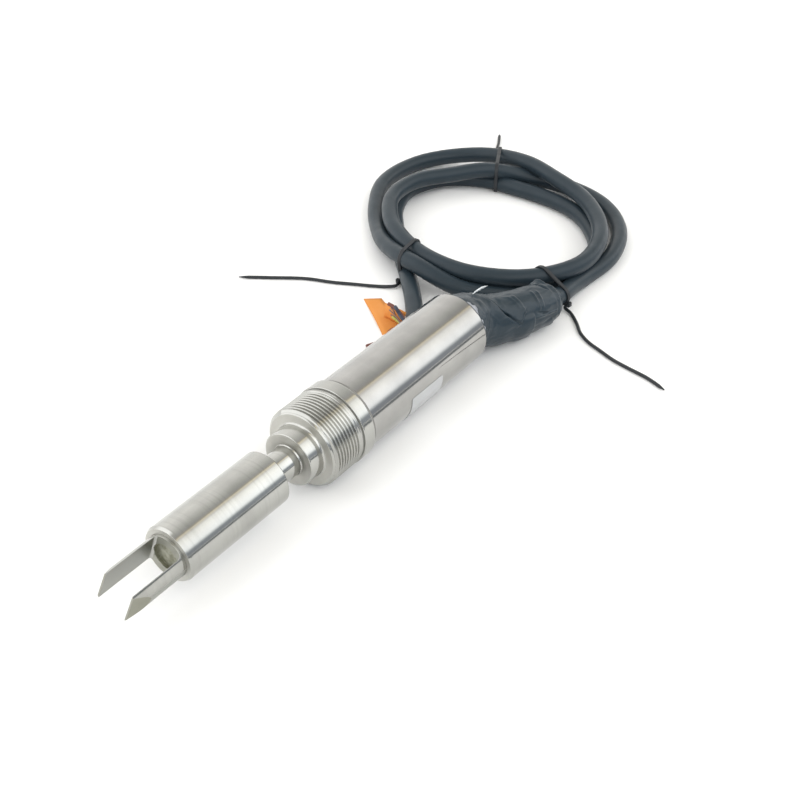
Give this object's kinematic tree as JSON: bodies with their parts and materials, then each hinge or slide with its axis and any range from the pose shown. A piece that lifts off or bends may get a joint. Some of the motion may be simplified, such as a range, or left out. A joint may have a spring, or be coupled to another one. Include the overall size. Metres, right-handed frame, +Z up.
{
  "type": "tuning fork density meter",
  "caption": "Insertion density meter: a steel tuning fork on a slim body, a threaded process fitting, a round housing and a tied coil of black cable.",
  "frame": {"origin": "on the surface that the meter lies on, under the middle of the rigid instrument's length", "axes": "+X along the instrument's axis towards the fork's tips, +Z up from the surface, and the coil of cable lies at -X and -Y"},
  "size_m": [0.5766, 0.2949, 0.0488],
  "materials": {
    "fork_steel": "fine turned and milled stainless steel",
    "turned_steel": "turned stainless steel",
    "tube_steel": "polished stainless steel tube",
    "weld_steel": "dull steel",
    "sensor_steel": "satin",
    "seal_rubber": "matt",
    "label_film": "satin, bare",
    "gland_plastic": "satin",
    "piezo_ceramic": "matt",
    "insulator": "matt",
    "wire_sleeve": "matt",
    "board_green": "lacquered",
    "board_black": "matt",
    "plug_ivory": "satin",
    "terminal_green": "satin",
    "core_tan": "satin insulation",
    "black_tape": "satin, with wrinkles",
    "cable_sheath": "satin",
    "orange_paper": "matt, bare",
    "tie_nylon": "satin"
  },
  "bodies": {
    "root": {"tuning_fork": "fork_steel", "fork_body": "turned_steel", "neck_tube": "turned_steel", "process_fitting": "turned_steel", "weld_bead": "weld_steel", "housing_tube": "tube_steel", "rear_cap": "turned_steel", "cap_o_ring": "seal_rubber", "blank_label": "label_film", "gland_body": "gland_plastic", "gland_seal": "seal_rubber", "gland_nut": "gland_plastic", "gland_lock_nut": "gland_plastic", "piezo_pickup": "piezo_ceramic", "piezo_drive": "piezo_ceramic", "stack_washers": "insulator", "back_mass": "weld_steel", "preload_bolt": "weld_steel", "temperature_sensor": "sensor_steel", "signal_wires": "wire_sleeve", "front_carrier": "insulator", "rear_carrier": "insulator", "circuit_board": "board_green", "board_parts": "board_black", "board_plug": "plug_ivory", "terminal_block": "terminal_green", "supply_cores": "core_tan", "tape_wrap": "black_tape", "tape_end_band": "black_tape", "cable_lead": "cable_sheath", "cable_coil": "cable_sheath", "cable_end": "cable_sheath", "cable_cores": "core_tan", "cable_flag": "orange_paper", "tie_left": "tie_nylon", "tie_right": "tie_nylon", "tie_back": "tie_nylon"}
  },
  "joints": []
}
